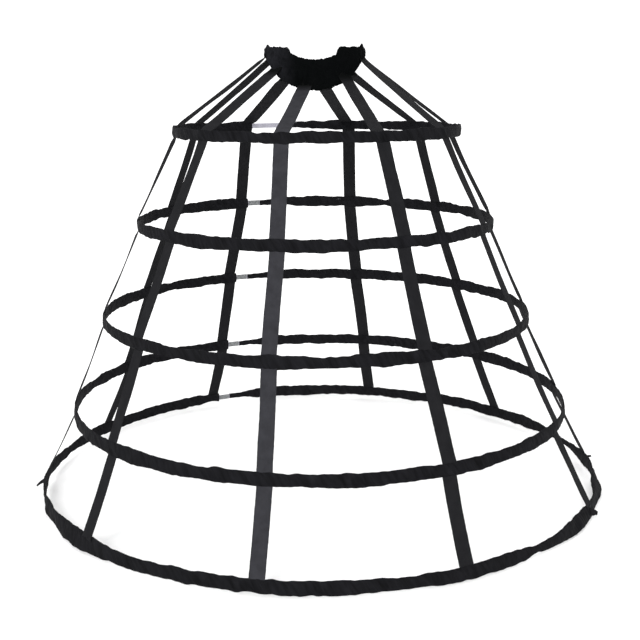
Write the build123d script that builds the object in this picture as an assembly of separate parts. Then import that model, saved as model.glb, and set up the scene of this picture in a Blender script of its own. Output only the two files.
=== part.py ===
from build123d import *
import math
import os
from dataclasses import dataclass

# Crinoline cage: five hoops of flat bone in fabric casings, hung on ten cotton tapes from an
# elastic waistband. Millimetres, +Z up, the front towards -Y. The origin is the centre of the
# waistband, where the cage hangs on its wearer. An azimuth is in degrees: 0 at the front, and
# positive towards +X, so 90 is the wearer's left side.

# Hoops, from the one under the hips down to the hem. A hoop hangs its own gap below the one
# above (the top one: below the waist centre), and sways a little to the side of the waist.


@dataclass
class Hoop:
    radius: float
    gap_above: float
    sway: float
    bare_length: float
    joiner_hidden: bool


HOOPS = (
    Hoop(radius=277, gap_above=120, sway=3, bare_length=70, joiner_hidden=True),
    Hoop(radius=347, gap_above=176, sway=-1, bare_length=28, joiner_hidden=False),
    Hoop(radius=421, gap_above=183, sway=-1, bare_length=28, joiner_hidden=False),
    Hoop(radius=491, gap_above=179, sway=5, bare_length=28, joiner_hidden=False),
    Hoop(radius=560, gap_above=154, sway=6, bare_length=28, joiner_hidden=False),
)

# Bone: a flat coated strip on edge, its ends pushed into a sheet-metal sleeve
BONE_THICKNESS = 1.2
BONE_HEIGHT = 10.0
BONE_END_GAP = 1.0
JOINER_LENGTH = 25.0
JOINER_WALL = 0.5
JOINER_CLEARANCE = 0.1
JOINER_INSET = 8.0

# Casing: a fabric tube of plain box section round the bone and the tapes
CASING_HEIGHT = 20.0
CASING_WALL = 1.0
CASING_CLEARANCE = 0.4
CASING_END_MARGIN = 3.0

# Tapes: flat cotton, sewn to the waistband, let through slots in each casing down to the hem
TAPE_WIDTH = 25.0
TAPE_THICKNESS = 0.8
TAPE_BONE_GAP = 0.4
TAPE_BEND_CLEARANCE = 1.0
TAPE_SEWN_LENGTH = 24.0
TAPE_SEAM_GAP = 0.15
TAPE_SPACING = 0.3
TAPE_HEM_DEPTH = 16.0
SLOT_CLEARANCE = 0.3
SPREAD_PASSES = 40


@dataclass
class Tape:
    at_waist: float
    at_top_hoop: float
    at_lower_hoops: float


TAPES = {
    "tape_front_left": Tape(at_waist=-13, at_top_hoop=-12, at_lower_hoops=-10.5),
    "tape_front_right": Tape(at_waist=39, at_top_hoop=25, at_lower_hoops=26),
    "tape_left_front": Tape(at_waist=-53, at_top_hoop=-47, at_lower_hoops=-48),
    "tape_right_front": Tape(at_waist=74, at_top_hoop=58, at_lower_hoops=63),
    "tape_left_side": Tape(at_waist=-90, at_top_hoop=-88, at_lower_hoops=-82),
    "tape_right_side": Tape(at_waist=103, at_top_hoop=101, at_lower_hoops=94),
    "tape_left_back": Tape(at_waist=-113, at_top_hoop=-115, at_lower_hoops=-118),
    "tape_right_back": Tape(at_waist=127, at_top_hoop=131, at_lower_hoops=131),
    "tape_back_left": Tape(at_waist=-141, at_top_hoop=-146, at_lower_hoops=-151),
    "tape_back_right": Tape(at_waist=168, at_top_hoop=166, at_lower_hoops=167),
}
OPENING_TAPE = "tape_back_left"

# Waistband: an elastic in a velvet cover, an oval ring that dips at the front and the back
WAIST_HALF_WIDTH = 96.0
WAIST_HALF_DEPTH = 62.0
WAIST_THICKNESS = 6.0
WAIST_WALL = 1.5
ELASTIC_CLEARANCE = 0.3
BAND_BOTTOM_MIDDLE = -43.0
BAND_BOTTOM_SIDE = 12.0
BAND_TOP_MIDDLE = 13.0
BAND_TOP_SHOULDER = 26.0
BAND_TOP_SIDE = 43.0
SHOULDER_HALF_WIDTH = 48.0
OUTLINE_OVERHANG = 10.0


def hoop_height(index):
    """Height of a hoop's middle, from the gaps above it."""
    return -sum(hoop.gap_above for hoop in HOOPS[: index + 1])


def outward(azimuth):
    """Unit vector from the axis towards an azimuth."""
    angle = math.radians(azimuth)
    return Vector(math.sin(angle), -math.cos(angle), 0)


def sideways(azimuth):
    """Unit vector along a hoop at an azimuth, towards a larger azimuth."""
    angle = math.radians(azimuth)
    return Vector(math.cos(angle), math.sin(angle), 0)


def arc_degrees(length, radius):
    """Angle that a length takes up on a hoop."""
    return math.degrees(length / radius)


def tape_azimuth(tape, index):
    """Where a tape crosses a hoop."""
    return tape.at_top_hoop if index == 0 else tape.at_lower_hoops


def tape_offset():
    """Distance of a tape's middle outside a hoop's middle line."""
    return BONE_THICKNESS / 2 + TAPE_BONE_GAP + TAPE_THICKNESS / 2


def ring_section(low, high, height):
    """Upright rectangle from one radius to another, on the plane that turns about the axis."""
    return Plane.XZ * Pos((low + high) / 2, 0) * Rectangle(high - low, height)


def turn(section, start, degrees):
    """Turn a section about the axis from one azimuth through an angle."""
    return Rot(0, 0, start - 90) * revolve(section, Axis.Z, degrees)


def place(shape, index):
    """Move a hoop's piece from the axis to where its hoop hangs."""
    return Pos(HOOPS[index].sway, 0, hoop_height(index)) * shape


def bare_stretch(index):
    """Azimuths where a casing ends and begins again, beside the opening tape."""
    radius = HOOPS[index].radius
    beside = TAPE_WIDTH / 2 + SLOT_CLEARANCE + CASING_END_MARGIN
    first = tape_azimuth(TAPES[OPENING_TAPE], index) - arc_degrees(beside, radius)
    return first, first - arc_degrees(HOOPS[index].bare_length, radius)


def joiner_azimuth(index):
    """Middle of a joiner: in the bare stretch, or hidden in the casing just past it."""
    first, last = bare_stretch(index)
    if HOOPS[index].joiner_hidden:
        return last - arc_degrees(JOINER_INSET + JOINER_LENGTH / 2, HOOPS[index].radius)
    return (first + last) / 2


def bone(index):
    """Open ring of flat strip, with its two ends a little apart inside the joiner."""
    radius = HOOPS[index].radius
    half = BONE_THICKNESS / 2
    section = ring_section(radius - half, radius + half, BONE_HEIGHT)
    gap = arc_degrees(BONE_END_GAP, radius)
    ring = turn(section, joiner_azimuth(index) + gap / 2, 360 - gap)
    return place(ring, index)


def joiner(index):
    """Flat sleeve, open at both ends, round the two ends of the bone."""
    radius = HOOPS[index].radius
    half_hole = BONE_THICKNESS / 2 + JOINER_CLEARANCE
    half_body = half_hole + JOINER_WALL
    hole_height = BONE_HEIGHT + 2 * JOINER_CLEARANCE
    body = ring_section(radius - half_body, radius + half_body, hole_height + 2 * JOINER_WALL)
    hole = ring_section(radius - half_hole, radius + half_hole, hole_height)
    length = arc_degrees(JOINER_LENGTH, radius)
    sleeve = turn(body - hole, joiner_azimuth(index) - length / 2, length)
    return place(sleeve, index)


def slot(index, azimuth, low, high):
    """Cutter for one tape's way through a casing, between two heights."""
    radius = HOOPS[index].radius + tape_offset()
    middle = outward(azimuth) * radius
    block = Box(
        TAPE_WIDTH + 2 * SLOT_CLEARANCE,
        TAPE_THICKNESS + 2 * SLOT_CLEARANCE,
        high - low,
    )
    return Pos(middle.X, middle.Y, (low + high) / 2) * Rot(0, 0, azimuth) * block


def casing(index):
    """Fabric tube, open at the bare stretch and slotted for every tape."""
    radius = HOOPS[index].radius
    tape_face = radius + tape_offset() + TAPE_THICKNESS / 2
    joiner_depth = BONE_THICKNESS / 2 + JOINER_CLEARANCE + JOINER_WALL
    inner = radius - joiner_depth - CASING_CLEARANCE
    outer = math.hypot(tape_face, TAPE_WIDTH / 2) + CASING_CLEARANCE
    body = ring_section(inner - CASING_WALL, outer + CASING_WALL, CASING_HEIGHT)
    hollow = ring_section(inner, outer, CASING_HEIGHT - 2 * CASING_WALL)
    first, last = bare_stretch(index)
    tube = turn(body - hollow, first, 360 - (first - last))
    is_hem = index == len(HOOPS) - 1
    reach = CASING_HEIGHT / 2 + CASING_WALL
    for tape in TAPES.values():
        low = 0 if is_hem else -reach
        tube -= slot(index, tape_azimuth(tape, index), low, reach)
    return place(tube, index)


def band_outline(inset):
    """Front view of the waistband: an arc below, two raised sides and a dip above."""
    corner = WAIST_HALF_WIDTH
    side = WAIST_HALF_WIDTH + OUTLINE_OVERHANG
    low = BAND_BOTTOM_SIDE + inset
    shoulder = SHOULDER_HALF_WIDTH + inset
    outline = Curve() + [
        ThreePointArc((-corner, low), (0, BAND_BOTTOM_MIDDLE + inset), (corner, low)),
        Polyline(
            (corner, low),
            (side, low),
            (side, BAND_TOP_SIDE - inset),
            (shoulder, BAND_TOP_SIDE - inset),
            (shoulder, BAND_TOP_SHOULDER - inset),
        ),
        ThreePointArc(
            (shoulder, BAND_TOP_SHOULDER - inset),
            (0, BAND_TOP_MIDDLE - inset),
            (-shoulder, BAND_TOP_SHOULDER - inset),
        ),
        Polyline(
            (-shoulder, BAND_TOP_SHOULDER - inset),
            (-shoulder, BAND_TOP_SIDE - inset),
            (-side, BAND_TOP_SIDE - inset),
            (-side, low),
            (-corner, low),
        ),
    ]
    return make_face(outline)


def band_bottom(x):
    """Height of the waistband's lower edge at a distance to the side."""
    drop = BAND_BOTTOM_SIDE - BAND_BOTTOM_MIDDLE
    radius = (WAIST_HALF_WIDTH**2 + drop**2) / (2 * drop)
    return BAND_BOTTOM_MIDDLE + radius - math.sqrt(radius**2 - x**2)


def oval_ring(inset_out, inset_in, outline_inset):
    """Oval tube between two insets of the waistband's faces, cut to its front view."""
    outer = Ellipse(WAIST_HALF_WIDTH - inset_out, WAIST_HALF_DEPTH - inset_out)
    inner_inset = WAIST_THICKNESS - inset_in
    inner = Ellipse(WAIST_HALF_WIDTH - inner_inset, WAIST_HALF_DEPTH - inner_inset)
    reach = max(BAND_TOP_SIDE, -BAND_BOTTOM_MIDDLE) + OUTLINE_OVERHANG
    tube = extrude(outer - inner, reach, both=True)
    front = Plane.XZ * band_outline(outline_inset)
    return tube & extrude(front, WAIST_HALF_DEPTH + OUTLINE_OVERHANG, both=True)


def waistband_cover():
    """Closed velvet tube round the elastic."""
    return oval_ring(0, 0, 0) - oval_ring(WAIST_WALL, WAIST_WALL, WAIST_WALL)


def waist_elastic():
    """Elastic strip inside the cover."""
    inset = WAIST_WALL + ELASTIC_CLEARANCE
    return oval_ring(inset, inset, inset)


def band_face(azimuth):
    """Point on the waistband's outer oval."""
    angle = math.radians(azimuth)
    return Vector(WAIST_HALF_WIDTH * math.sin(angle), -WAIST_HALF_DEPTH * math.cos(angle), 0)


def seam_azimuths():
    """Azimuth of each tape on the waistband, moved only where its neighbour would overlap it."""
    names = sorted(TAPES, key=lambda name: TAPES[name].at_waist)
    found = {name: TAPES[name].at_waist for name in names}
    needed = TAPE_WIDTH + TAPE_SPACING
    mean_radius = (WAIST_HALF_WIDTH + WAIST_HALF_DEPTH) / 2
    for _ in range(SPREAD_PASSES):
        for left, right in zip(names, names[1:] + names[:1]):
            apart = (band_face(found[left]) - band_face(found[right])).length
            push = arc_degrees(max(needed - apart, 0) / 2, mean_radius)
            found[left] -= push
            found[right] += push
    return found


def waist_seam(azimuth):
    """Middle of a tape where it leaves the waistband, and the way along the band there."""
    angle = math.radians(azimuth)
    along = Vector(
        WAIST_HALF_WIDTH * math.cos(angle), WAIST_HALF_DEPTH * math.sin(angle), 0
    ).normalized()
    face = band_face(azimuth)
    stand_off = TAPE_SEAM_GAP + TAPE_THICKNESS / 2
    middle = face + along.cross(Vector(0, 0, 1)) * stand_off
    return middle + Vector(0, 0, band_bottom(face.X)), along


def tape_route(tape, seam_azimuth):
    """Middle points of a tape from its sewn end to the hem, each with its width's direction."""
    seam, along = waist_seam(seam_azimuth)
    route = [(seam + Vector(0, 0, TAPE_SEWN_LENGTH), along), (seam, along)]
    bend = CASING_HEIGHT / 2 + TAPE_BEND_CLEARANCE
    for index, hoop in enumerate(HOOPS):
        azimuth = tape_azimuth(tape, index)
        is_hem = index == len(HOOPS) - 1
        centre = Vector(hoop.sway, 0, hoop_height(index))
        middle = centre + outward(azimuth) * (hoop.radius + tape_offset())
        below = bend - TAPE_HEM_DEPTH if is_hem else -bend
        route.append((middle + Vector(0, 0, bend), sideways(azimuth)))
        route.append((middle + Vector(0, 0, below), sideways(azimuth)))
    return route


def tape_strip(route):
    """Flat strip along a tape's route, with its thickness kept through every bend."""
    points = [point for point, _ in route]
    runs = [(b - a).normalized() for a, b in zip(points, points[1:])]
    sections = []
    for step, (point, along) in enumerate(route):
        before = runs[max(step - 1, 0)]
        after = runs[min(step, len(runs) - 1)]
        ahead = (before + after).normalized()
        half_turn = before.get_angle(after) / 2
        across = ahead.cross(along).normalized()
        half = across * (TAPE_THICKNESS / 2 / math.cos(math.radians(half_turn)))
        edge = along * (TAPE_WIDTH / 2)
        corners = [point + edge + half, point - edge + half, point - edge - half, point + edge - half]
        sections.append(Wire.make_polygon(corners))
    return Solid.make_loft(sections, ruled=True)


def main():
    """Write every piece as a file of its own."""
    os.makedirs("parts", exist_ok=True)
    pieces = {"waistband_cover": waistband_cover(), "waist_elastic": waist_elastic()}
    for index in range(len(HOOPS)):
        pieces[f"hoop_{index + 1}_bone"] = bone(index)
        pieces[f"hoop_{index + 1}_joiner"] = joiner(index)
        pieces[f"hoop_{index + 1}_casing"] = casing(index)
    for name, azimuth in seam_azimuths().items():
        pieces[name] = tape_strip(tape_route(TAPES[name], azimuth))
    for name, shape in pieces.items():
        export_step(shape, f"parts/{name}.step")


main()
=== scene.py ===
"""Crinoline cage: satin casings on flat boning, twill tapes and a gathered velvet waistband."""

import logging
import math
from collections.abc import Sequence
from dataclasses import dataclass, field
from enum import Enum

import bmesh
import bpy
from mathutils import Matrix, Vector, noise


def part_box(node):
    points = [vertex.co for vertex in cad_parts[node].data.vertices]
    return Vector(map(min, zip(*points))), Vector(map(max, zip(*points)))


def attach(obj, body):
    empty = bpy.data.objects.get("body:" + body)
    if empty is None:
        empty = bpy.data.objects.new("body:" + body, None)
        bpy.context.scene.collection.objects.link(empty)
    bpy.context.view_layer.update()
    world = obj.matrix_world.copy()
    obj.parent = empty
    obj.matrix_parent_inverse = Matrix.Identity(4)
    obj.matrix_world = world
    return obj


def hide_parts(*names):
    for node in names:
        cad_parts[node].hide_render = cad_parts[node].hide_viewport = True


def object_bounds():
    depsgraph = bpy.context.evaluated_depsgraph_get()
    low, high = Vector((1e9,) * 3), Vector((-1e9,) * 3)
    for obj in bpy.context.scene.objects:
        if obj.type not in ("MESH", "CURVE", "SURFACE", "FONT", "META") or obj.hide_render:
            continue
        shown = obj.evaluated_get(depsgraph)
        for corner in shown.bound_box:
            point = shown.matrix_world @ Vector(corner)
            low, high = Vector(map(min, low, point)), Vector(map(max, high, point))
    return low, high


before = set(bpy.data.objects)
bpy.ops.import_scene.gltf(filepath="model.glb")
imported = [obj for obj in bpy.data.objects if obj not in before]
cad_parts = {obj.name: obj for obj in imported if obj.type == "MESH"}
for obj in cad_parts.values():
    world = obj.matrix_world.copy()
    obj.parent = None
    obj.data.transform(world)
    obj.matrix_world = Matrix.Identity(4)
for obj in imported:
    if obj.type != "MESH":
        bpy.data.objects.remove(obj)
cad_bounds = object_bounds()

Tree = bpy.types.NodeTree
Socket = bpy.types.NodeSocket
Material = bpy.types.Material
Piece = bpy.types.Object
Shape = bmesh.types.BMesh
Chart = bmesh.types.BMLayerItem
Colour = tuple[float, float, float, float]

LOG = logging.getLogger("crinoline_cage")
BODY = "root"
MM = 0.001
UP = Vector((0.0, 0.0, 1.0))
# Points closer than this are one.
WELD = 0.001 * MM
# The noise's lines lie this far apart, far enough to have nothing in common.
SEED_STEP = 17.3
# Brings the noise's usual range up to about -1 to 1.
NOISE_GAIN = 1.7
CREASE_SHARPNESS = 4.0
# One band of the wave texture takes up this much at scale 1.
WAVE_BAND = math.tau / 20


class Face(Enum):
    """The two faces of a cloth tube."""

    INNER = -1
    OUTER = 1


def outward(azimuth: float) -> Vector:
    """Return the level unit vector from the axis towards an azimuth, 0 being the front."""
    angle = math.radians(azimuth)
    return Vector((math.sin(angle), -math.cos(angle), 0.0))


def sideways(azimuth: float) -> Vector:
    """Return the level unit vector along a hoop, towards a larger azimuth."""
    return outward(azimuth + 90.0)


def drift(travel: float, length: float, seed: float, level: float = 0.0) -> float:
    """Return a value from -1 to 1 that wanders smoothly, alike in every run.

    Args:
        travel: distance along the piece.
        length: distance over which the value changes.
        seed: picks one wandering line out of many.
        level: distance across the piece, for a value that changes that way too.

    Returns:
        The value at that place.
    """
    value = NOISE_GAIN * noise.noise(Vector((travel / length, seed * SEED_STEP, level / length)))
    return max(-1.0, min(1.0, value))


def crease(travel: float, length: float, seed: float, level: float = 0.0) -> float:
    """Return 0 to 1, near 1 only along narrow lines, as cloth folds in sharp creases."""
    value = noise.noise(Vector((travel / length, seed * SEED_STEP, level / length)))
    return max(0.0, 1.0 - abs(value) * CREASE_SHARPNESS) ** 2


def crumple(point: Vector, length: float, seed: float) -> float:
    """Return a value from -1 to 1 that wanders with the place in space, so a ring closes on itself."""
    return max(-1.0, min(1.0, NOISE_GAIN * noise.noise(point / length + UP * (seed * SEED_STEP))))


@dataclass(frozen=True)
class Wave:
    """One wavering of the cloth: how much, over what length, and which random line it follows."""

    amount: float
    length: float
    line: float


Waves = Sequence[Wave]


def wander(travel: float, seed: float, waves: Waves, level: float = 0.0, side: int = 1) -> float:
    """Return the sum of several waverings; side is -1 to give the inner face lines of its own."""
    return sum(wave.amount * drift(travel, wave.length, seed + side * wave.line, level) for wave in waves)


def crumpled(point: Vector, side: float, waves: Waves) -> float:
    """Return the sum of several crumplings at a place, with lines of its own for each side."""
    return sum(wave.amount * crumple(point, wave.length, wave.line + side) for wave in waves)


def ease(value: float, low: float, high: float) -> float:
    """Return 0 below low, 1 above high and a smooth step between them."""
    share = max(0.0, min(1.0, (value - low) / (high - low)))
    return share * share * (3.0 - 2.0 * share)


def rounded(value: float, power: float) -> float:
    """Return a sine or cosine raised to a power with its sign kept, which squares a circle."""
    return math.copysign(abs(value) ** power, value)


def linear(colour: str) -> Colour:
    """Turn an sRGB hex colour into a linear one with full alpha."""
    channels = [int(colour[step : step + 2], 16) / 255 for step in (1, 3, 5)]
    low = [c / 12.92 if c <= 0.04045 else ((c + 0.055) / 1.055) ** 2.4 for c in channels]
    return (low[0], low[1], low[2], 1.0)


def add_node(tree: Tree, kind: str, inputs: dict | None = None, **settings) -> bpy.types.Node:
    """Add one shader node.

    Args:
        tree: the material's node tree.
        kind: the node's type.
        inputs: socket name or number to its value, or to the socket that feeds it.
        settings: the node's own properties.

    Returns:
        The new node.
    """
    node = tree.nodes.new(kind)
    for name, value in settings.items():
        setattr(node, name, value)
    for name, value in (inputs or {}).items():
        if isinstance(value, Socket):
            tree.links.new(value, node.inputs[name])
        else:
            node.inputs[name].default_value = value
    return node


def fresh_material(name: str) -> tuple[Material, Tree, Socket]:
    """Return a new material, its empty node tree and the place on the piece in its own frame, in metres."""
    material = bpy.data.materials.new(name)
    material.use_nodes = True
    tree = material.node_tree
    tree.nodes.clear()
    return material, tree, add_node(tree, "ShaderNodeTexCoord").outputs["Object"]


def surfaced(material: Material, inputs: dict) -> Material:
    """Return a material finished with one surface shader, whose sockets are given by name."""
    surface = add_node(material.node_tree, "ShaderNodeBsdfPrincipled", inputs)
    add_node(material.node_tree, "ShaderNodeOutputMaterial", {"Surface": surface.outputs["BSDF"]})
    return material


def mottle(tree: Tree, place: Socket, size_mm: float, **more: float) -> Socket:
    """Return a mottled value from 0 to 1, in patches of a size; more sets the noise's other sockets."""
    inputs = {"Vector": place, "Scale": 1 / (size_mm * MM), **more}
    return add_node(tree, "ShaderNodeTexNoise", inputs).outputs["Fac"]


def ranged(tree: Tree, value: Socket, low: float, high: float, start: float = 0, end: float = 1) -> Socket:
    """Return a value that goes from start to end while another goes from low to high."""
    inputs = {"Value": value, "From Min": low, "From Max": high, "To Min": start, "To Max": end}
    return add_node(tree, "ShaderNodeMapRange", inputs).outputs["Result"]


def reckoned(tree: Tree, operation: str, *terms: Socket | float) -> Socket:
    """Return the result of one sum on sockets and numbers."""
    return add_node(tree, "ShaderNodeMath", dict(enumerate(terms)), operation=operation).outputs["Value"]


def relief(tree: Tree, height: Socket, strength: float, depth_mm: float, **below: Socket) -> Socket:
    """Return a normal that makes a value stand out, on top of a coarser relief's if one is given."""
    inputs = {"Height": height, "Strength": strength, "Distance": depth_mm * MM, **below}
    return add_node(tree, "ShaderNodeBump", inputs).outputs["Normal"]


def mixed(tree: Tree, factor: Socket, first: Socket | Colour, second: Socket | Colour) -> Socket:
    """Return one linear colour where the factor is 0 and another where it is 1."""
    inputs = {"Factor": factor, "A": first, "B": second}
    return add_node(tree, "ShaderNodeMix", inputs, data_type="RGBA").outputs["Result"]


def two_tones(tree: Tree, factor: Socket, dark: str, light: str) -> Socket:
    """Return the first hex colour where the factor is 0 and the second where it is 1."""
    return mixed(tree, factor, linear(dark), linear(light))


@dataclass(frozen=True)
class PolyesterSatin:
    """Black polyester satin: duller patches break up its flat black, and its slanting creases carry a painted
    highlight.
    """

    dark: str = "#050506"
    light: str = "#1c1c1f"
    tone_low: float = 0.22
    tone_high: float = 0.78
    patch_mm: float = 35.0
    patch_share: float = 0.3
    crease_mm: float = 6.5
    crease_length_mm: float = 30.0
    crease_slant: float = 52.0
    crease_depth_mm: float = 2.2
    crease_highlight_share: float = 0.7
    slub_mm: float = 1.6
    slub_depth_mm: float = 0.3
    roughness: float = 0.76
    specular: float = 0.045

    def material(self) -> Material:
        """Return the cloth: slanting creases in relief with a painted highlight along them, uneven gloss and
        a slubbed weave.
        """
        made, tree, place = fresh_material("polyester_satin")
        patch = mottle(tree, place, self.patch_mm, Detail=3.0, Roughness=0.55)
        # The map runs in metres, round the tube and along it, so the creases cross the casing on a slant.
        slanted = add_node(
            tree, "ShaderNodeMapping",
            {"Vector": add_node(tree, "ShaderNodeUVMap", uv_map="casing").outputs["UV"],
             "Rotation": (0.0, 0.0, math.radians(self.crease_slant)),
             "Scale": (self.crease_mm * MM, self.crease_length_mm * MM, 1.0)},
            vector_type="TEXTURE",
        )
        # The mapping has already brought a crease's width and length to 1.
        stretched = slanted.outputs["Vector"]
        creases = mottle(tree, stretched, 1 / MM, Detail=2.5, Roughness=0.5, Distortion=0.6)
        # The real weave is 0.1 mm and can't show, so its slubs are drawn some fifteen times as coarse.
        slub = mottle(tree, place, self.slub_mm, Detail=2.0)
        patches = reckoned(tree, "MULTIPLY", patch, self.patch_share)
        # The creases lighten the colour, a painted highlight along the folds, added to the random patches.
        tone = reckoned(tree, "MULTIPLY_ADD", creases, self.crease_highlight_share, patches)
        shade = ranged(tree, tone, self.tone_low, self.tone_high)
        folds = relief(tree, creases, 0.8, self.crease_depth_mm)
        return surfaced(made, {
            "Base Color": two_tones(tree, shade, self.dark, self.light),
            "Roughness": ranged(tree, patch, 0.3, 0.7, self.roughness - 0.1, self.roughness + 0.12),
            "Normal": relief(tree, slub, 0.2, self.slub_depth_mm, Normal=folds),
            "Specular IOR Level": self.specular,
        })


@dataclass(frozen=True)
class CottonTwillTape:
    """Black cotton tape: matt, with a fine slanting rib, and greyer where it is worn."""

    name: str = "cotton_twill_tape"
    dark: str = "#151517"
    light: str = "#1e1e20"
    rib_mm: float = 1.4
    rib_slant: float = 45.0
    rib_share: float = 0.35
    rib_depth_mm: float = 0.25
    faded_mm: float = 18.0
    roughness: float = 0.78
    specular: float = 0.045
    pile: str = "#050606"
    buried_mm: float = 12.0
    clear_mm: float = 32.0

    def material(self) -> Material:
        """Return the cloth: slanting ribs from the tape's own map, and an end lost in the pile."""
        made, tree, place = fresh_material(self.name)
        # The map runs in metres, across the tape and along it.
        along = add_node(tree, "ShaderNodeUVMap", uv_map="tape").outputs["UV"]
        turned = add_node(
            tree, "ShaderNodeMapping", {"Vector": along, "Rotation": (0.0, 0.0, math.radians(self.rib_slant))}
        )
        # The real rib is 0.7 mm, drawn at twice that so that it shows.
        rib = add_node(
            tree, "ShaderNodeTexWave",
            {"Vector": turned.outputs["Vector"], "Scale": WAVE_BAND / (self.rib_mm * MM), "Distortion": 0.6,
             "Detail": 1.0, "Detail Scale": 2.0},
        ).outputs["Fac"]
        faded = mottle(tree, place, self.faded_mm, Detail=4.0, Roughness=0.6)
        shade = ranged(tree, reckoned(tree, "MULTIPLY_ADD", rib, self.rib_share, faded), 0.35, 0.95)
        # The sewn end sinks into the velvet, whose pile closes over it little by little.
        travel = add_node(tree, "ShaderNodeSeparateXYZ", {"Vector": along}).outputs["Y"]
        buried = ranged(tree, travel, self.buried_mm * MM, self.clear_mm * MM, 1.0, 0.0)
        woven = two_tones(tree, shade, self.dark, self.light)
        return surfaced(made, {
            "Base Color": mixed(tree, buried, woven, linear(self.pile)),
            "Roughness": self.roughness,
            "Normal": relief(tree, rib, 0.35, self.rib_depth_mm),
            "Specular IOR Level": self.specular,
        })


# A lighter copy of the tape: a painted highlight for the front left tape, where the lamp falls on it.
PAINTED_HIGHLIGHT_TAPE = CottonTwillTape(name="painted_highlight_cotton_tape", dark="#252528", light="#333337")


@dataclass(frozen=True)
class CrushedVelvet:
    """Black velvet: crushed into patches, deep black in the middle, and greyer at its left end from a painted
    sheen.
    """

    dark: str = "#030404"
    light: str = "#090a0b"
    # The painted sheen's greyer colour, and where across the band it fades in.
    painted_sheen: str = "#232327"
    nap_mm: float = 11.0
    painted_sheen_from_mm: float = -36.0
    painted_sheen_by_mm: float = -72.0
    pile_mm: float = 1.3
    pile_depth_mm: float = 0.8
    roughness: float = 0.95
    specular: float = 0.02
    sheen: float = 0.02
    sheen_tint: str = "#8d97a3"

    def material(self) -> Material:
        """Return the cloth: pile brushed into patches, a painted sheen that greys one end, and a tufted
        surface.
        """
        made, tree, place = fresh_material("crushed_velvet")
        nap = mottle(tree, place, self.nap_mm, Detail=4.0, Distortion=0.8)
        # One end of the band is painted greyer: a painted sheen where the pile catches the light.
        sideways_place = add_node(tree, "ShaderNodeSeparateXYZ", {"Vector": place}).outputs["X"]
        end = ranged(tree, sideways_place, self.painted_sheen_from_mm * MM, self.painted_sheen_by_mm * MM)
        painted_sheen_share = reckoned(tree, "MULTIPLY", end, nap)
        # Single hairs are far too fine, so the pile is drawn as tufts.
        pile = mottle(tree, place, self.pile_mm, Detail=3.0, Roughness=0.7)
        flattened = two_tones(tree, nap, self.dark, self.light)
        return surfaced(made, {
            "Base Color": mixed(tree, painted_sheen_share, flattened, linear(self.painted_sheen)),
            "Roughness": self.roughness,
            "Normal": relief(tree, pile, 0.7, self.pile_depth_mm),
            "Sheen Weight": self.sheen,
            "Sheen Roughness": 0.35,
            "Sheen Tint": linear(self.sheen_tint),
            "Specular IOR Level": self.specular,
        })


@dataclass(frozen=True)
class CoatedSpringSteel:
    """Spring steel in a white plastic coat: smooth, a little lilac, with faint scuffs."""

    dark: str = "#918f9a"
    light: str = "#a5a4ae"
    scuff_mm: float = 9.0
    scuff_depth_mm: float = 0.2
    roughness: float = 0.38

    def material(self) -> Material:
        """Return the coat: a milky tone with scuffs that dull it."""
        made, tree, place = fresh_material("coated_spring_steel")
        scuff = mottle(tree, place, self.scuff_mm, Detail=5.0, Roughness=0.65)
        return surfaced(made, {
            "Base Color": two_tones(tree, scuff, self.dark, self.light),
            "Roughness": ranged(tree, scuff, 0.35, 0.7, self.roughness - 0.06, self.roughness + 0.18),
            "Normal": relief(tree, scuff, 0.1, self.scuff_depth_mm),
            "IOR": 1.5,
        })


@dataclass(frozen=True)
class ZincSheet:
    """Zinc-plated sheet, pressed flat: dull grey with mottled crystal patches."""

    dark: str = "#67696b"
    light: str = "#8d8f90"
    crystal_mm: float = 2.4
    crystal_depth_mm: float = 0.3
    metallic: float = 0.7
    roughness: float = 0.5

    def material(self) -> Material:
        """Return the metal: crystals of two greys with pressed dints."""
        made, tree, place = fresh_material("zinc_plated_sheet")
        crystal = add_node(
            tree, "ShaderNodeTexVoronoi", {"Vector": place, "Scale": 1 / (self.crystal_mm * MM)}
        )
        tint = add_node(tree, "ShaderNodeSeparateColor", {"Color": crystal.outputs["Color"]})
        return surfaced(made, {
            "Base Color": two_tones(tree, tint.outputs["Red"], self.dark, self.light),
            "Metallic": self.metallic,
            "Roughness": self.roughness,
            "Normal": relief(tree, crystal.outputs["Distance"], 0.25, self.crystal_depth_mm),
        })


@dataclass(frozen=True)
class WovenElastic:
    """Black woven elastic: matt, with cords that run round the band."""

    dark: str = "#121213"
    light: str = "#2a2a2c"
    cord_mm: float = 1.2
    cord_depth_mm: float = 0.3
    roughness: float = 0.9

    def material(self) -> Material:
        """Return the webbing: level cords, one above the other."""
        made, tree, place = fresh_material("woven_elastic")
        cord = add_node(
            tree, "ShaderNodeTexWave",
            {"Vector": place, "Scale": WAVE_BAND / (self.cord_mm * MM), "Distortion": 0.3},
            bands_direction="Z",
        ).outputs["Fac"]
        return surfaced(made, {
            "Base Color": two_tones(tree, cord, self.dark, self.light),
            "Roughness": self.roughness,
            "Normal": relief(tree, cord, 0.5, self.cord_depth_mm),
        })


@dataclass
class Wardrobe:
    """Every finish, made once and shared by the pieces."""

    satin: Material = field(default_factory=PolyesterSatin().material)
    tape: Material = field(default_factory=CottonTwillTape().material)
    painted_highlight_tape: Material = field(default_factory=PAINTED_HIGHLIGHT_TAPE.material)
    velvet: Material = field(default_factory=CrushedVelvet().material)
    bone: Material = field(default_factory=CoatedSpringSteel().material)
    joiner: Material = field(default_factory=ZincSheet().material)
    elastic: Material = field(default_factory=WovenElastic().material)


def new_object(name: str, data: bpy.types.ID) -> Piece:
    """Return a new object at the origin, linked to the scene."""
    made = bpy.data.objects.new(name, data)
    bpy.context.scene.collection.objects.link(made)
    return made


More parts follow.
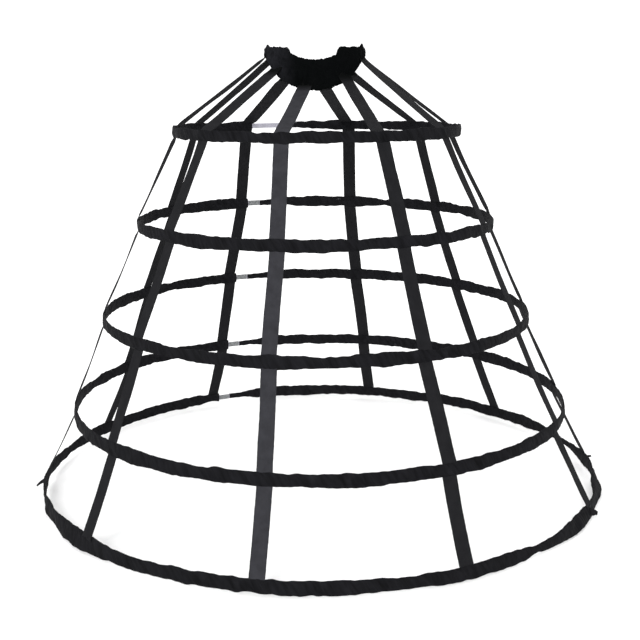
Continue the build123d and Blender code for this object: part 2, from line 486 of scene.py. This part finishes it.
def square_grid(across: int, along: int) -> Shape:
    """Return a flat grid from -1 to 1 both ways, ready to be bent or rolled into a tube."""
    shape = bmesh.new()
    bmesh.ops.create_grid(shape, x_segments=across, y_segments=along, size=1.0)
    return shape


def chart_cloth(shape: Shape, name: str, across: float, along: float) -> Chart:
    """Give a flat grid a map in metres, from half of the cloth's width or way round and its length."""
    chart = shape.loops.layers.uv.new(name)
    for face in shape.faces:
        for loop in face.loops:
            spot = loop.vert.co
            loop[chart].uv = (spot.x * across, (spot.y + 1) / 2 * along)
    return chart


def finished_piece(name: str, shape: Shape, material: Material, cloth: float) -> Piece:
    """Turn a shape into a piece of cloth.

    Args:
        name: the piece's name.
        shape: its surface, which is freed.
        material: its finish.
        cloth: thickness of the cloth, given to it inwards and outwards alike.

    Returns:
        The piece, smooth shaded, at the origin.
    """
    bmesh.ops.recalc_face_normals(shape, faces=shape.faces)
    mesh = bpy.data.meshes.new(name)
    shape.to_mesh(mesh)
    shape.free()
    mesh.shade_smooth()
    mesh.materials.append(material)
    piece = new_object(name, mesh)
    wall = piece.modifiers.new("cloth_thickness", "SOLIDIFY")
    wall.thickness = cloth
    wall.offset = 0.0
    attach(piece, BODY)
    return piece


@dataclass
class Hoop:
    """One hoop's circle, read from its bone."""

    index: int
    bone_thickness: float = 1.2 * MM

    def __post_init__(self) -> None:
        """Find the circle's centre and radius from the bone's box."""
        low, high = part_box(f"hoop_{self.index}_bone")
        self.radius = (high.x - low.x - self.bone_thickness) / 2
        self.centre = Vector(((low.x + high.x) / 2, 0.0, (low.z + high.z) / 2))

    def place(self, azimuth: float, out: float, up: float) -> Vector:
        """Return the point at an azimuth, that far outside and above the bone's middle line."""
        return self.centre + outward(azimuth) * (self.radius + out) + UP * up

    def degrees(self, length: float) -> float:
        """Return the angle that a length takes up on this hoop."""
        return math.degrees(length / self.radius)

    def joiner_azimuth(self) -> float:
        """Return the azimuth of the joiner's middle."""
        low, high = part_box(f"hoop_{self.index}_joiner")
        middle = (low + high) / 2 - self.centre
        return math.degrees(math.atan2(middle.x, -middle.y))


@dataclass(frozen=True)
class Pull:
    """A stretch where a casing is drawn in, puffed out or turned on its bone."""

    azimuth: float
    reach: float
    taller: float = 0.0
    deeper: float = 0.0
    lift: float = 0.0
    turn: float = 0.0

    def share(self, azimuth: float, hoop: Hoop) -> float:
        """Return how much of the pull is felt at an azimuth, from 0 to 1."""
        away = (azimuth - self.azimuth + 180.0) % 360.0 - 180.0
        steps = math.radians(away) * hoop.radius / (self.reach * MM)
        return math.exp(-steps * steps)


@dataclass(frozen=True)
class Station:
    """How a casing is gathered at one place along its hoop."""

    azimuth: float
    travel: float
    height: float
    depth: float
    lift: float
    turn: float
    looseness: float
    over_tape: float
    top_waver: float
    foot_waver: float


@dataclass
class Casing:
    """A satin tube round one hoop, loosely gathered, so it puffs, wavers and turns."""

    hoop: Hoop
    half_height: float
    bare: float
    joiner_hidden: bool
    pulls: Sequence[Pull]
    tape_azimuths: Sequence[float]
    half_depth: float = 2 * MM
    offset: float = 0.7 * MM
    cloth: float = 0.35 * MM
    step: float = 3.5 * MM
    section_points: int = 26
    fullness: float = 1.12
    hidden_inset: float = 20.5 * MM
    # Height and depth waver by shares, the lift and the two edges by metres, and the turn by degrees.
    height_waves: Waves = (Wave(0.08, 100 * MM, 0), Wave(0.06, 34 * MM, 9))
    depth_waves: Waves = (Wave(0.35, 80 * MM, 2), Wave(0.2, 25 * MM, 8))
    lift_waves: Waves = (Wave(1.1 * MM, 140 * MM, 3), Wave(0.7 * MM, 45 * MM, 7))
    turn_waves: Waves = (Wave(7.0, 160 * MM, 4),)
    top_waves: Waves = (Wave(0.9 * MM, 11 * MM, 11), Wave(1.2 * MM, 28 * MM, 12))
    foot_waves: Waves = (Wave(0.9 * MM, 11 * MM, 13), Wave(1.2 * MM, 28 * MM, 14))
    nips: Wave = Wave(0.9 * MM, 70 * MM, 10)
    # A power below 1 makes the section squarer than an ellipse, out and up.
    squarer_out: float = 0.5
    squarer_up: float = 0.85
    edge_power: int = 4
    # Small folds on both faces, and sharper ones that lean as they climb.
    fold_waves: Waves = (Wave(0.7 * MM, 21 * MM, 5), Wave(0.4 * MM, 9 * MM, 7))
    fold_lean: float = 0.8
    sharp_folds: Wave = Wave(1.1 * MM, 40 * MM, 3)
    # Towards its second end the casing is drawn tight on the bone.
    tight_from: float = 20 * MM
    loose_from: float = 95 * MM
    tight_height: float = 6 * MM
    tight_depth: float = 1.7 * MM
    tight_smoothing: float = 0.8
    hem_length: float = 1.5 * MM
    hem_shrink: float = 0.05
    # The bone and the tapes inside keep the faces apart.
    filled_height: float = 5.7 * MM
    least_out: float = 1.2 * MM
    tape_half_width: float = 12.5 * MM
    tape_blend: float = 2.5 * MM
    tape_swell: float = 0.35 * MM
    tape_room: float = 1.1 * MM
    tape_cover: float = 5.8 * MM

    def ends(self) -> tuple[float, float]:
        """Return the azimuths where the casing stops and starts again, in falling order."""
        middle = self.hoop.joiner_azimuth()
        if self.joiner_hidden:
            last = middle + self.hoop.degrees(self.hidden_inset)
            return last + self.hoop.degrees(self.bare), last
        half = self.hoop.degrees(self.bare / 2)
        return middle + half, middle - half

    def over_tape(self, azimuth: float) -> float:
        """Return 1 where a tape lies under the satin and 0 elsewhere."""
        most = 0.0
        for tape in self.tape_azimuths:
            away = abs((azimuth - tape + 180.0) % 360.0 - 180.0)
            distance = math.radians(away) * self.hoop.radius
            beside = ease(distance, self.tape_half_width, self.tape_half_width + self.tape_blend)
            most = max(most, 1.0 - beside)
        return most

    def station(self, azimuth: float, travel: float, left: float) -> Station:
        """Return how the casing is gathered at one place along the hoop.

        Args:
            azimuth: place round the hoop.
            travel: distance from the casing's first end.
            left: distance to its other end, beside the bare bone.

        Returns:
            The section's size, lift and turn there.
        """
        seed = self.hoop.index
        height = self.half_height * (1 + wander(travel, seed, self.height_waves))
        height -= self.nips.amount * crease(travel, self.nips.length, seed + self.nips.line)
        depth = self.half_depth * (1 + wander(travel, seed, self.depth_waves))
        lift = wander(travel, seed, self.lift_waves)
        turn = wander(travel, seed, self.turn_waves)
        for pull in self.pulls:
            share = pull.share(azimuth, self.hoop)
            height += share * pull.taller * MM
            depth += share * pull.deeper * MM
            lift += share * pull.lift * MM
            turn += share * pull.turn
        tight = 1.0 - ease(left, self.tight_from, self.loose_from)
        height += (self.tight_height - height) * tight
        depth += (self.tight_depth - depth) * tight
        height *= 1.0 - self.hem_shrink * (1.0 - ease(min(travel, left), 0.0, self.hem_length))
        return Station(
            azimuth, travel, height, depth,
            lift=lift * (1.0 - tight),
            turn=math.radians(turn),
            looseness=1.0 - self.tight_smoothing * tight,
            over_tape=self.over_tape(azimuth),
            top_waver=wander(travel, seed, self.top_waves),
            foot_waver=wander(travel, seed, self.foot_waves),
        )

    def shaped(self, at: Station, angle: float) -> Vector:
        """Return where a point of the section lies.

        Args:
            at: how the casing is gathered there.
            angle: place round the section, 0 facing outwards.

        Returns:
            The point in the row frame.
        """
        seed = self.hoop.index
        over, up = math.cos(angle), math.sin(angle)
        face = Face.OUTER if over >= 0 else Face.INNER
        side = face.value
        out = at.depth * rounded(over, self.squarer_out)
        rise = at.height * rounded(up, self.squarer_up)
        flat = 1.0 - abs(up) ** self.edge_power
        slant = at.travel + self.fold_lean * rise
        fold = wander(slant, seed, self.fold_waves, rise, side)
        sharp = self.sharp_folds
        fold += sharp.amount * crease(slant, sharp.length, seed + side * sharp.line, rise)
        out += side * flat * (fold * at.looseness + self.tape_swell * at.over_tape)
        rise += (1.0 - flat) * up * (at.top_waver if up > 0 else at.foot_waver)
        across, level = math.cos(at.turn), math.sin(at.turn)
        turned_out = out * across - rise * level + self.offset
        turned_up = out * level + rise * across + at.lift
        covered = self.filled_height + self.tape_cover * at.over_tape
        if face is Face.OUTER and abs(turned_up) < covered:
            turned_out = max(turned_out, self.least_out + self.tape_room * at.over_tape)
        if face is Face.INNER and abs(turned_up) < self.filled_height:
            turned_out = min(turned_out, -self.least_out)
        return self.hoop.place(at.azimuth, turned_out, turned_up)

    def build(self, wardrobe: Wardrobe) -> Piece:
        """Return the casing: a strip rolled into a tube, bent round the hoop and gathered."""
        first, last = self.ends()
        arc = 360.0 - (first - last)
        length = math.radians(arc) * self.hoop.radius
        shape = square_grid(self.section_points, round(length / self.step))
        chart_cloth(shape, "casing", 2 * self.half_height + 2 * self.half_depth, length)
        stations: dict[int, Station] = {}
        for vert in shape.verts:
            share = (vert.co.y + 1) / 2
            step = round(share * length / self.step)
            if step not in stations:
                stations[step] = self.station(first + share * arc, share * length, (1 - share) * length)
            vert.co = self.shaped(stations[step], math.pi * vert.co.x)
        bmesh.ops.remove_doubles(shape, verts=shape.verts, dist=WELD)
        piece = finished_piece(f"casing_{self.hoop.index}", shape, wardrobe.satin, self.cloth)
        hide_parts(f"hoop_{self.hoop.index}_casing")
        LOG.info("casing %d: %.0f mm long", self.hoop.index, length / MM)
        return piece


@dataclass
class Waistband:
    """The gathered velvet ring, sagging between its two raised sides."""

    bottom_middle: float = -43 * MM
    bottom_side: float = 12 * MM
    top_middle: float = 13 * MM
    top_shoulder: float = 26 * MM
    shoulder: float = 48 * MM
    left_step: float = 47.5 * MM
    right_step: float = 42 * MM
    lobe_top: float = 36.5 * MM
    step_width: float = 6 * MM
    bottom_tuck: float = 5 * MM
    tuck_from: float = 0.72
    ear_azimuth: float = 76.0
    ear_reach: float = 10.0
    ear_height: float = 7 * MM
    ear_power: float = 1.3
    half_depth: float = 3.4 * MM
    squarer_out: float = 0.6
    squarer_up: float = 0.85
    edge_power: int = 6
    # Pleats run nearly upright, so they change slowly with height, while the crushing is alike both ways.
    pleat_climb: float = 0.3
    pleats: Waves = (Wave(1.3 * MM, 6 * MM, 21), Wave(0.9 * MM, 15 * MM, 24))
    crushing: Waves = (Wave(0.6 * MM, 5 * MM, 27), Wave(0.9 * MM, 21 * MM, 30))
    teeth: Waves = (Wave(1.1 * MM, 3 * MM, 33), Wave(1.3 * MM, 10 * MM, 36))
    cut_width: float = 0.11
    cloth: float = 0.8 * MM
    steps: int = 720
    section_points: int = 32
    fullness: float = 1.3
    elastic_rows: int = 6
    elastic_margin: float = 6 * MM
    elastic_cloth: float = 1.6 * MM
    elastic_width: float = 42 * MM

    def __post_init__(self) -> None:
        """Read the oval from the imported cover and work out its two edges' curves."""
        low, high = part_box("waistband_cover")
        self.half_width = (high.x - low.x) / 2
        self.half_breadth = (high.y - low.y) / 2
        self.around = math.pi * (self.half_width + self.half_breadth)
        drop = self.bottom_side - self.bottom_middle
        self.bottom_radius = (self.half_width**2 + drop**2) / (2 * drop)
        drop = self.top_shoulder - self.top_middle
        self.top_radius = (self.shoulder**2 + drop**2) / (2 * drop)

    def face(self, azimuth: float) -> Vector:
        """Return the point of the outer oval at an azimuth, at waist level."""
        angle = math.radians(azimuth)
        return Vector((self.half_width * math.sin(angle), -self.half_breadth * math.cos(angle), 0.0))

    def along(self, azimuth: float) -> Vector:
        """Return the level unit vector along the band, towards a larger azimuth."""
        return self.face(azimuth + 90.0).normalized()

    def away(self, azimuth: float) -> Vector:
        """Return the level unit vector straight out of the band."""
        return self.along(azimuth).cross(UP)

    def bottom(self, x: float) -> float:
        """Return the lower edge's height at a distance to the side."""
        x = min(abs(x), self.half_width)
        arc = self.bottom_middle + self.bottom_radius - math.sqrt(self.bottom_radius**2 - x**2)
        return arc + self.bottom_tuck * ease(x, self.tuck_from * self.half_width, self.half_width)

    def top(self, x: float) -> float:
        """Return the upper edge's height at a distance to the side."""
        inner = min(abs(x), self.shoulder)
        dip = self.top_middle + self.top_radius - math.sqrt(self.top_radius**2 - inner**2)
        start = self.right_step if x > 0 else self.left_step
        return dip + (self.lobe_top - dip) * ease(abs(x), start, start + self.step_width)

    def shaped(self, azimuth: float, angle: float) -> Vector:
        """Return a point of the section at an azimuth, its angle being 0 where it faces outwards."""
        spot = self.face(azimuth)
        low, high = self.bottom(spot.x), self.top(spot.x)
        over, up = math.cos(angle), math.sin(angle)
        side = Face.OUTER.value if over >= 0 else Face.INNER.value
        rise = (low + high) / 2 + rounded(up, self.squarer_up) * (high - low) / 2
        out = self.half_depth * rounded(over, self.squarer_out)
        edge = abs(up) ** self.edge_power
        folds = crumpled(spot + UP * (rise * self.pleat_climb), side, self.pleats)
        folds += crumpled(spot + UP * rise, side, self.crushing)
        out += side * (1.0 - edge) * folds
        rise += edge * up * crumpled(spot, up, self.teeth)
        if up > 0:
            rise += edge * self.ear(azimuth)
        return spot + self.away(azimuth) * (out - self.half_depth) + UP * rise

    def ear(self, azimuth: float) -> float:
        """Return how far the upper edge stands up in a point near the outer corners."""
        away = (abs(azimuth) - self.ear_azimuth) / self.ear_reach
        return self.ear_height * max(0.0, 1.0 - abs(away)) ** self.ear_power

    def build_elastic(self, wardrobe: Wardrobe) -> Piece:
        """Return the elastic: a flat strip closed to a ring inside the velvet, clear of its edges."""
        shape = square_grid(self.elastic_rows, self.steps // 2)
        for vert in shape.verts:
            azimuth = 180.0 * vert.co.y
            spot = self.face(azimuth) - self.away(azimuth) * self.half_depth
            low = self.bottom(spot.x) + self.elastic_margin
            high = self.top(spot.x) - self.elastic_margin
            vert.co = spot + UP * ((low + high) / 2 + vert.co.x * (high - low) / 2)
        bmesh.ops.remove_doubles(shape, verts=shape.verts, dist=WELD)
        piece = finished_piece("waist_webbing", shape, wardrobe.elastic, self.elastic_cloth)
        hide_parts("waist_elastic")
        return piece

    def build(self, wardrobe: Wardrobe) -> Piece:
        """Return the velvet cover: a strip rolled into a tube, closed to a ring and gathered."""
        shape = square_grid(self.section_points, self.steps)
        for vert in shape.verts:
            vert.co = self.shaped(180.0 * vert.co.y, math.pi * vert.co.x)
        bmesh.ops.remove_doubles(shape, verts=shape.verts, dist=WELD)
        piece = finished_piece("waistband_velvet", shape, wardrobe.velvet, self.cloth)
        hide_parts("waistband_cover")
        LOG.info("waistband: %.0f mm round", self.around / MM)
        return piece


@dataclass(frozen=True)
class Tail:
    """A loose end that sticks out of the hem casing where a tape ends.

    out, side and up give its direction, and droop how far its tip hangs below that.
    """

    length: float
    width: float
    out: float
    side: float
    up: float
    droop: float = 0.0
    start_out: float = 2.4 * MM
    taper: float = 0.55
    fray: float = 0.25
    fray_length: float = 8 * MM
    curl: float = 2.5 * MM
    curl_length: float = 15 * MM
    curl_across: float = 6 * MM
    rows: int = 12
    columns: int = 4


@dataclass(frozen=True)
class TapePath:
    """Where one tape meets the waistband and the hoops, as azimuths, and how it strays.

    In millimetres, rise is how far above the lower edge it leaves the waistband, and enters and
    hem_shift how far to the side it meets the top casing and the hem. The turns twist its free
    runs, in degrees. A tape with a painted highlight is drawn lighter all along, as painted light where the
    lamp falls on it.
    """

    node: str
    at_waist: float
    at_top_hoop: float
    at_lower_hoops: float
    rise: float = 0.0
    enters: float = 0.0
    turn_above: float = 0.0
    turn_below: float = 0.0
    hem_shift: float = 0.0
    painted_highlight: bool = False
    tail: Tail | None = None


@dataclass
class Tape:
    """One cotton tape, sewn to the waistband and run down through every casing."""

    path: TapePath
    waistband: Waistband
    hoops: Sequence[Hoop]
    width: float = 27.4 * MM
    cloth: float = 0.8 * MM
    outside_bone: float = 1.4 * MM
    bend: float = 11 * MM
    top_bend: float = 6 * MM
    hem_depth: float = 16 * MM
    sewn: float = 20 * MM
    sewn_margin: float = 4 * MM
    # A tape that leaves the band above its lower edge is sewn on for less.
    side_sewn: float = 9 * MM
    sunk: float = 3.2 * MM
    seam_gap: float = 0.55 * MM
    step: float = 4 * MM
    across_steps: int = 10
    # A run longer than this hangs free: it bows in, strays and twists a little.
    free_run: float = 60 * MM
    bow: float = 1 * MM
    bow_wave: Wave = Wave(0.9 * MM, 120 * MM, 0)
    stray_wave: Wave = Wave(0.8 * MM, 160 * MM, 40)
    twist_wave: Wave = Wave(0.04, 70 * MM, 60)
    twist_rush: float = 5.0
    width_wave: Wave = Wave(0.015, 50 * MM, 80)
    selvedge_wave: Wave = Wave(0.25 * MM, 6 * MM, 90)
    selvedge_from: float = 0.99

    def corners(self) -> list[tuple[Vector, Vector]]:
        """Return the tape's turning points, each with the direction of its width."""
        azimuth = self.path.at_waist
        along = self.waistband.along(azimuth)
        face = self.waistband.face(azimuth)
        seam = face + self.waistband.away(azimuth) * self.seam_gap
        seam.z = self.waistband.bottom(face.x) + self.path.rise * MM
        room = self.waistband.top(face.x) - seam.z - self.sewn_margin
        sewn = min(self.side_sewn if self.path.rise else self.sewn, room)
        run = self.hoops[0].place(self.path.at_top_hoop, 0.0, 0.0) - seam
        slant = UP + along * (along.x * run.x / run.z)
        end = seam + slant.normalized() * sewn - self.waistband.away(azimuth) * self.sunk
        route = [(end, along), (seam, along)]
        for hoop in self.hoops:
            is_top = hoop is self.hoops[0]
            crossing = self.path.at_top_hoop if is_top else self.path.at_lower_hoops
            entry = crossing + hoop.degrees(self.path.enters * MM) if is_top else crossing
            if hoop is self.hoops[-1]:
                crossing += hoop.degrees(self.path.hem_shift * MM)
                entry = crossing
            above = self.top_bend if is_top else self.bend
            below = self.bend - self.hem_depth if hoop is self.hoops[-1] else -self.bend
            route.append((hoop.place(entry, self.outside_bone, above), sideways(entry)))
            route.append((hoop.place(crossing, self.outside_bone, below), sideways(crossing)))
        return route

    def build(self, wardrobe: Wardrobe, seed: int) -> Piece:
        """Return the tape: a strip laid along the route, with a seed for a waver of its own."""
        route = self.corners()
        stations = [0.0]
        for (start, _), (end, _) in zip(route, route[1:]):
            stations.append(stations[-1] + (end - start).length)
        length = stations[-1]
        shape = square_grid(self.across_steps, round(length / self.step))
        chart = chart_cloth(shape, "tape", self.width / 2, length)
        for vert in shape.verts:
            vert.co = self.laid(route, stations, (1 + vert.co.y) / 2 * length, vert.co.x, seed)
        if self.path.tail:
            self.add_tail(shape, chart, self.path.tail, length, seed)
        # A tape with a painted highlight gets the lighter copy of the cloth.
        finish = wardrobe.painted_highlight_tape if self.path.painted_highlight else wardrobe.tape
        piece = finished_piece(self.path.node.replace("tape_", "cotton_"), shape, finish, self.cloth)
        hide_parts(self.path.node)
        LOG.info("%s: %.0f mm long", self.path.node, length / MM)
        return piece

    def laid(
        self, route: Sequence[tuple[Vector, Vector]], stations: Sequence[float], travel: float, across: float,
        seed: int,
    ) -> Vector:
        """Return where a point of the flat strip lies on the route.

        Args:
            route: turning points with the width's direction.
            stations: each turning point's distance along the tape.
            travel: the point's distance along the tape.
            across: -1 to 1 over the width.
            seed: tells one tape's waver from another's.

        Returns:
            The point in the row frame.
        """
        run = max(step for step in range(len(stations) - 1) if stations[step] <= travel + 1e-9)
        span = stations[run + 1] - stations[run]
        share = (travel - stations[run]) / span
        start, end = route[run], route[run + 1]
        point = start[0].lerp(end[0], share)
        along = start[1].lerp(end[1], share).normalized()
        ahead = (end[0] - start[0]).normalized()
        face = along.cross(ahead).normalized()
        if face.dot(Vector((point.x, point.y, 0.0))) < 0:
            face = -face
        slack = math.sin(math.pi * share) if span > self.free_run else 0.0
        point += face * slack * (wander(travel, seed, [self.bow_wave]) - self.bow)
        point += along * slack * wander(travel, seed, [self.stray_wave])
        turn = self.path.turn_above if run == 1 else self.path.turn_below
        tilt = math.radians(turn) + wander(travel, seed, [self.twist_wave])
        point += face * (across * self.width / 2 * math.sin(tilt * min(1.0, self.twist_rush * slack)))
        width = self.width / 2 * (1 + wander(travel, seed, [self.width_wave]))
        at_edge = abs(across) > self.selvedge_from
        ragged = wander(travel, seed + across, [self.selvedge_wave]) if at_edge else 0.0
        return point + along * (across * width + ragged)

    def add_tail(self, shape: Shape, chart: Chart, tail: Tail, start_along: float, seed: int) -> None:
        """Add the loose end at the hem to the tape's surface, its map carrying on from start_along."""
        hoop = self.hoops[-1]
        azimuth = self.path.at_lower_hoops
        start = hoop.place(azimuth, tail.start_out, 0.0)
        ahead = (outward(azimuth) * tail.out + sideways(azimuth) * tail.side + UP * tail.up).normalized()
        face = ahead.cross(UP).normalized()
        across = face.cross(ahead).normalized()
        made = bmesh.ops.create_grid(shape, x_segments=tail.columns, y_segments=tail.rows, size=1.0)["verts"]
        for vert in made:
            for loop in vert.link_loops:
                loop[chart].uv = (vert.co.x * tail.width / 2, start_along + vert.co.y * tail.length / 2)
        for vert in made:
            share = (vert.co.y + 1) / 2
            reach = share * tail.length
            frayed = 1 + tail.fray * drift(reach, tail.fray_length, seed + vert.co.x)
            half = tail.width / 2 * (1 - tail.taper * share) * frayed
            level = vert.co.x * tail.curl_across
            curl = tail.curl * share * drift(reach, tail.curl_length, seed + 5, level)
            drop = UP * (-tail.droop * share * share)
            vert.co = start + ahead * reach + across * (vert.co.x * half) + face * curl + drop


@dataclass
class Crinoline:
    """The whole cage: waistband, hoops, casings and tapes."""

    # From the top hoop down, in millimetres.
    half_heights: Sequence[float] = (10.2, 10.9, 11.3, 11.8, 12.2)
    bare_lengths: Sequence[float] = (70.0, 28.0, 28.0, 28.0, 28.0)

    def tape_paths(self) -> list[TapePath]:
        """Return the ten tapes, named for where they hang."""
        return [
            TapePath("tape_front_left", -13, -12.6, -10.5, painted_highlight=True),
            TapePath("tape_front_right", 39, 24.5, 26, enters=-9, turn_above=-3, hem_shift=-9),
            TapePath("tape_left_front", -53, -47, -48, rise=5, enters=4, turn_above=-10, hem_shift=13),
            TapePath(
                "tape_right_front", 74, 58, 63, rise=1, enters=-13, turn_above=6,
                tail=Tail(15 * MM, 16 * MM, 0.8, 0.3, -0.1, 3 * MM),
            ),
            TapePath(
                "tape_left_side", -90, -92, -82, rise=1, enters=-16, turn_above=10, turn_below=7,
                tail=Tail(21 * MM, 8 * MM, 0.9, -0.3, -0.35, 6 * MM),
            ),
            TapePath(
                "tape_right_side", 103, 104, 94, rise=2, enters=16, turn_above=1, turn_below=-4,
                tail=Tail(18 * MM, 7 * MM, 0.9, 0.2, 0.05),
            ),
            TapePath("tape_left_back", -113, -115, -118, rise=8, enters=-6, turn_above=5),
            TapePath(
                "tape_right_back", 130, 129.5, 131, enters=12,
                tail=Tail(20 * MM, 11 * MM, 0.7, -0.6, 0.15),
            ),
            TapePath("tape_back_left", -141, -146.5, -151, enters=-5, turn_above=12),
            TapePath("tape_back_right", 168, 165.5, 167, enters=5),
        ]

    def pulls(self) -> list[list[Pull]]:
        """Return each casing's tighter, fuller and turned stretches, from the top hoop down."""
        return [
            [
                Pull(40, 22, taller=0.9, lift=0.8), Pull(-20, 30, taller=-1.2, lift=-1),
                Pull(-62, 18, taller=1), Pull(172, 14, taller=1.5), Pull(150, 16, taller=-2),
                Pull(-4, 20, lift=1.2),
            ],
            [
                Pull(166, 26, taller=1.4, lift=1), Pull(153, 20, taller=-4.2, lift=-0.8),
                Pull(-35, 26, taller=1.2, lift=-0.8), Pull(52, 30, lift=1.2), Pull(-60, 14, taller=1.6),
                Pull(-110, 16, taller=-1.8), Pull(118, 18, taller=-2),
            ],
            [
                Pull(-8, 30, taller=1.2), Pull(30, 28, lift=-1.4, taller=-1.2), Pull(-70, 30, taller=-1.2),
                Pull(-128, 26, taller=-2.4), Pull(150, 18, taller=1.2, lift=1), Pull(98, 20, taller=-2.2),
            ],
            [
                Pull(8, 28, taller=1.2, lift=-1.2), Pull(-42, 90, taller=2, turn=8),
                Pull(76, 22, taller=-2.6), Pull(60, 22, taller=1.6), Pull(-100, 22, taller=-2.4),
                Pull(-125, 30, lift=1.2), Pull(106, 30, taller=-1.8),
            ],
            [
                Pull(41, 22, taller=-5, lift=1), Pull(58, 70, taller=2.6, turn=20, deeper=1.2),
                Pull(85.3, 8, taller=-7, deeper=-3), Pull(77, 60, turn=36, deeper=3.4, taller=1),
                Pull(93, 22, deeper=0.8, taller=1.5), Pull(106, 90, taller=-6.4),
                Pull(24, 40, taller=0.8, lift=-1.2), Pull(-50, 95, taller=3.6, turn=20, deeper=1.2),
                Pull(-67, 34, turn=16, deeper=1.8), Pull(-86, 30, taller=-5.2, deeper=-0.5),
                Pull(-102, 45, taller=-4), Pull(-24, 50, taller=1.4), Pull(-150, 24, taller=-2),
                Pull(150, 30, taller=-1.6), Pull(-8, 40, taller=0.8, lift=-0.6),
            ],
        ]

    def build(self, wardrobe: Wardrobe) -> None:
        """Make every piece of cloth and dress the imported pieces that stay."""
        hoops = [Hoop(index) for index in range(1, 6)]
        paths = self.tape_paths()
        waistband = Waistband()
        waistband.build(wardrobe)
        waistband.build_elastic(wardrobe)
        for hoop, half_height, bare, pulls in zip(hoops, self.half_heights, self.bare_lengths, self.pulls()):
            crossings = [p.at_top_hoop if hoop.index == 1 else p.at_lower_hoops for p in paths]
            Casing(hoop, half_height * MM, bare * MM, hoop.index == 1, pulls, crossings).build(wardrobe)
            self.dress(f"hoop_{hoop.index}_bone", wardrobe.bone)
            self.dress(f"hoop_{hoop.index}_joiner", wardrobe.joiner)
        for seed, path in enumerate(paths):
            Tape(path, waistband, hoops).build(wardrobe, seed)

    def dress(self, node: str, material: Material) -> None:
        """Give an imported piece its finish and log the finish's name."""
        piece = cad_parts[node]
        piece.data.materials.clear()
        piece.data.materials.append(material)
        LOG.info("%s: %s", node, material.name)


@dataclass
class Studio:
    """A plain white floor, an evenly lit white room with one soft lamp, and the camera."""

    camera_place: tuple[float, float, float] = (0.007, -2.1224, -0.0288)
    pitch: float = 77.47
    roll: float = -0.0061
    focal_length: float = 60.12
    sensor_width: float = 36.0
    farthest: float = 1000.0
    floor_size: float = 400.0
    paper_grain_mm: float = 40.0
    room_glow: float = 1.25
    key_strength: float = 1.7
    key_spread: float = 24.0
    key_from: tuple[float, float, float] = (-0.3, -0.81, 0.5)
    floor_gap: float = 10 * MM

    def build(self) -> None:
        """Lay the floor, light the room and place the camera."""
        self.lay_floor()
        self.light()
        self.place_camera()

    def lay_floor(self) -> None:
        """Lay a white paper floor a little below the hem, which hangs clear of it."""
        shape = square_grid(2, 2)
        bmesh.ops.scale(shape, vec=(self.floor_size / 2, self.floor_size / 2, 1.0), verts=shape.verts)
        mesh = bpy.data.meshes.new("floor")
        shape.to_mesh(mesh)
        shape.free()
        floor = new_object("floor", mesh)
        floor.location.z = cad_bounds[0][2] - self.floor_gap
        paper, tree, place = fresh_material("white_paper")
        grain = mottle(tree, place, self.paper_grain_mm, Detail=3.0)
        tone = two_tones(tree, grain, "#f6f6f6", "#fbfbfb")
        paper = surfaced(paper, {"Base Color": tone, "Roughness": 0.9, "Specular IOR Level": 0.0})
        mesh.materials.append(paper)

    def light(self) -> None:
        """Light an evenly white room, with a soft lamp in front and a little to the left."""
        world = bpy.data.worlds.new("white_room")
        world.use_nodes = True
        room = world.node_tree.nodes["Background"]
        room.inputs["Color"].default_value = (1.0, 1.0, 1.0, 1.0)
        room.inputs["Strength"].default_value = self.room_glow
        bpy.context.scene.world = world
        lamp = bpy.data.lights.new("soft_key", "SUN")
        lamp.energy = self.key_strength
        lamp.angle = math.radians(self.key_spread)
        holder = new_object("soft_key", lamp)
        holder.rotation_euler = (-Vector(self.key_from)).to_track_quat("-Z", "Y").to_euler()

    def place_camera(self) -> None:
        """Stand the camera at waist level in front, looking down a little."""
        lens = bpy.data.cameras.new("camera")
        lens.lens = self.focal_length
        lens.sensor_width = self.sensor_width
        lens.clip_end = self.farthest
        camera = new_object("camera", lens)
        turn = Matrix.Rotation(math.radians(self.pitch), 4, "X") @ Matrix.Rotation(self.roll, 4, "Z")
        camera.matrix_world = Matrix.Translation(self.camera_place) @ turn
        bpy.context.scene.camera = camera
        bpy.context.scene.view_settings.view_transform = "Standard"


def main() -> None:
    """Build the studio and the cage."""
    logging.basicConfig(level=logging.INFO, format="%(name)s: %(message)s")
    Studio().build()
    Crinoline().build(Wardrobe())


if __name__ == "__main__":
    main()
